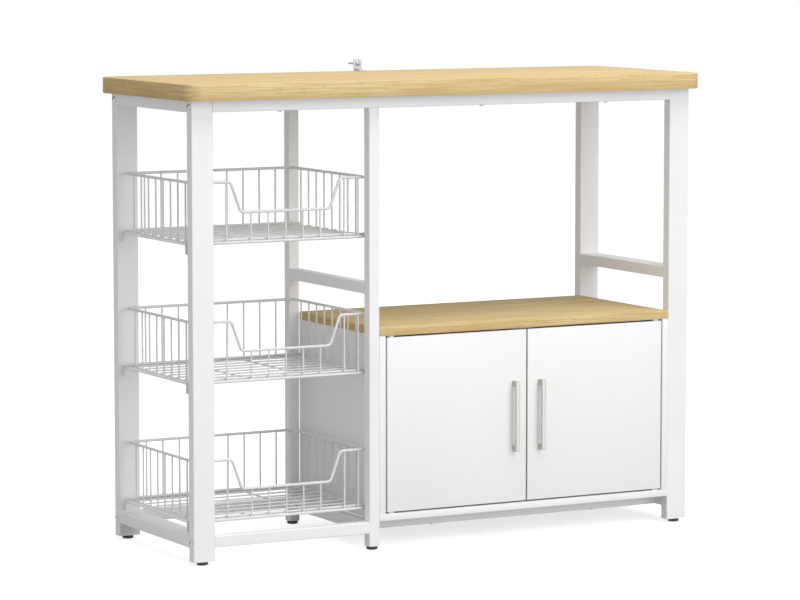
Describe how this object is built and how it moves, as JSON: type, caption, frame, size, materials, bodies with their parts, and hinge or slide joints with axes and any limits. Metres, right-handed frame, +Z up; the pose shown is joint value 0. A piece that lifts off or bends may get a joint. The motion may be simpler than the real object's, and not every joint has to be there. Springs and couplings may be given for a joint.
{
  "type": "microwave cabinet",
  "caption": "Kitchen rack of white steel tube with an oak-effect worktop, hanging wire baskets, and an open microwave bay over a cabinet with hinged doors.",
  "frame": {"origin": "on the floor, under the middle of the overall box, wall screw included", "axes": "+X to the right as seen from the front, +Y to the back, +Z up"},
  "size_m": [1.02, 0.415, 0.837],
  "materials": {
    "oak_board": "satin",
    "white_board": "satin",
    "white_steel": "satin",
    "white_wire": "satin",
    "satin_nickel": "satin",
    "zinc_steel": "satin",
    "black_plastic": "matte",
    "white_plastic": "matte",
    "beech_dowel": "matte"
  },
  "bodies": {
    "frame": {"worktop": "oak_board", "microwave_shelf": "oak_board", "cabinet_left_panel": "white_board", "cabinet_right_panel": "white_board", "cabinet_bottom_panel": "white_board", "cabinet_back_panel": "white_board", "front_top_rail": "white_steel", "back_top_rail": "white_steel", "left_front_post": "white_steel", "left_back_post": "white_steel", "right_front_post": "white_steel", "right_back_post": "white_steel", "middle_front_post": "white_steel", "middle_back_post": "white_steel", "left_top_side_rail": "white_steel", "left_bottom_side_rail": "white_steel", "right_top_side_rail": "white_steel", "right_guard_side_rail": "white_steel", "right_bottom_side_rail": "white_steel", "middle_guard_side_rail": "white_steel", "middle_bottom_side_rail": "white_steel", "front_basket_rail": "white_steel", "back_basket_rail": "white_steel", "front_cabinet_bearer": "white_steel", "back_cabinet_bearer": "white_steel", "left_basket_rods": "white_steel", "right_basket_rods": "white_steel", "frame_bolts": "zinc_steel", "middle_post_bolts": "zinc_steel", "worktop_screws": "zinc_steel", "bearer_screws": "zinc_steel", "back_panel_nails": "zinc_steel", "wall_bracket": "zinc_steel", "wall_bracket_screw": "zinc_steel", "wall_screw": "zinc_steel", "foot_plugs": "black_plastic", "pivot_bushes": "white_plastic", "magnetic_catch": "white_plastic", "panel_dowels": "beech_dowel"},
    "left_door": {"left_door": "white_board", "left_door_handle": "satin_nickel", "left_handle_screws": "zinc_steel", "left_door_pivot_pins": "zinc_steel", "left_strike_plate": "zinc_steel"},
    "right_door": {"right_door": "white_board", "right_door_handle": "satin_nickel", "right_handle_screws": "zinc_steel", "right_door_pivot_pins": "zinc_steel", "right_strike_plate": "zinc_steel"},
    "bottom_basket": {"bottom_basket": "white_wire"},
    "middle_basket": {"middle_basket": "white_wire"},
    "top_basket": {"top_basket": "white_wire"},
    "foot_left_front": {"foot_left_front": "black_plastic"},
    "foot_left_back": {"foot_left_back": "black_plastic"},
    "foot_middle_front": {"foot_middle_front": "black_plastic"},
    "foot_middle_back": {"foot_middle_back": "black_plastic"},
    "foot_right_front": {"foot_right_front": "black_plastic"},
    "foot_right_back": {"foot_right_back": "black_plastic"}
  },
  "joints": [
    {"name": "left_door_hinge", "type": "hinge", "parent": "frame", "child": "left_door", "pos_m": [-0.1125, -0.176, 0.21675], "axis": [0, 0, -1], "range_deg": [0, 110]},
    {"name": "right_door_hinge", "type": "hinge", "parent": "frame", "child": "right_door", "pos_m": [0.429, -0.176, 0.21675], "axis": [0, 0, 1], "range_deg": [0, 110]},
    {"name": "bottom_basket_lift", "type": "slide", "parent": "frame", "child": "bottom_basket", "axis": [0, 0, 1], "range_m": [0, 0.025]},
    {"name": "middle_basket_lift", "type": "slide", "parent": "frame", "child": "middle_basket", "axis": [0, 0, 1], "range_m": [0, 0.025]},
    {"name": "top_basket_lift", "type": "slide", "parent": "frame", "child": "top_basket", "axis": [0, 0, 1], "range_m": [0, 0.025]},
    {"name": "foot_left_front_turn", "type": "hinge", "parent": "frame", "child": "foot_left_front", "pos_m": [-0.474, -0.1725, 0.003], "axis": [0, 0, 1], "continuous": true},
    {"name": "foot_left_back_turn", "type": "hinge", "parent": "frame", "child": "foot_left_back", "pos_m": [-0.474, 0.1345, 0.003], "axis": [0, 0, 1], "continuous": true},
    {"name": "foot_middle_front_turn", "type": "hinge", "parent": "frame", "child": "foot_middle_front", "pos_m": [-0.1475, -0.1725, 0.003], "axis": [0, 0, 1], "continuous": true},
    {"name": "foot_middle_back_turn", "type": "hinge", "parent": "frame", "child": "foot_middle_back", "pos_m": [-0.1475, 0.1345, 0.003], "axis": [0, 0, 1], "continuous": true},
    {"name": "foot_right_front_turn", "type": "hinge", "parent": "frame", "child": "foot_right_front", "pos_m": [0.474, -0.1725, 0.003], "axis": [0, 0, 1], "continuous": true},
    {"name": "foot_right_back_turn", "type": "hinge", "parent": "frame", "child": "foot_right_back", "pos_m": [0.474, 0.1345, 0.003], "axis": [0, 0, 1], "continuous": true}
  ]
}
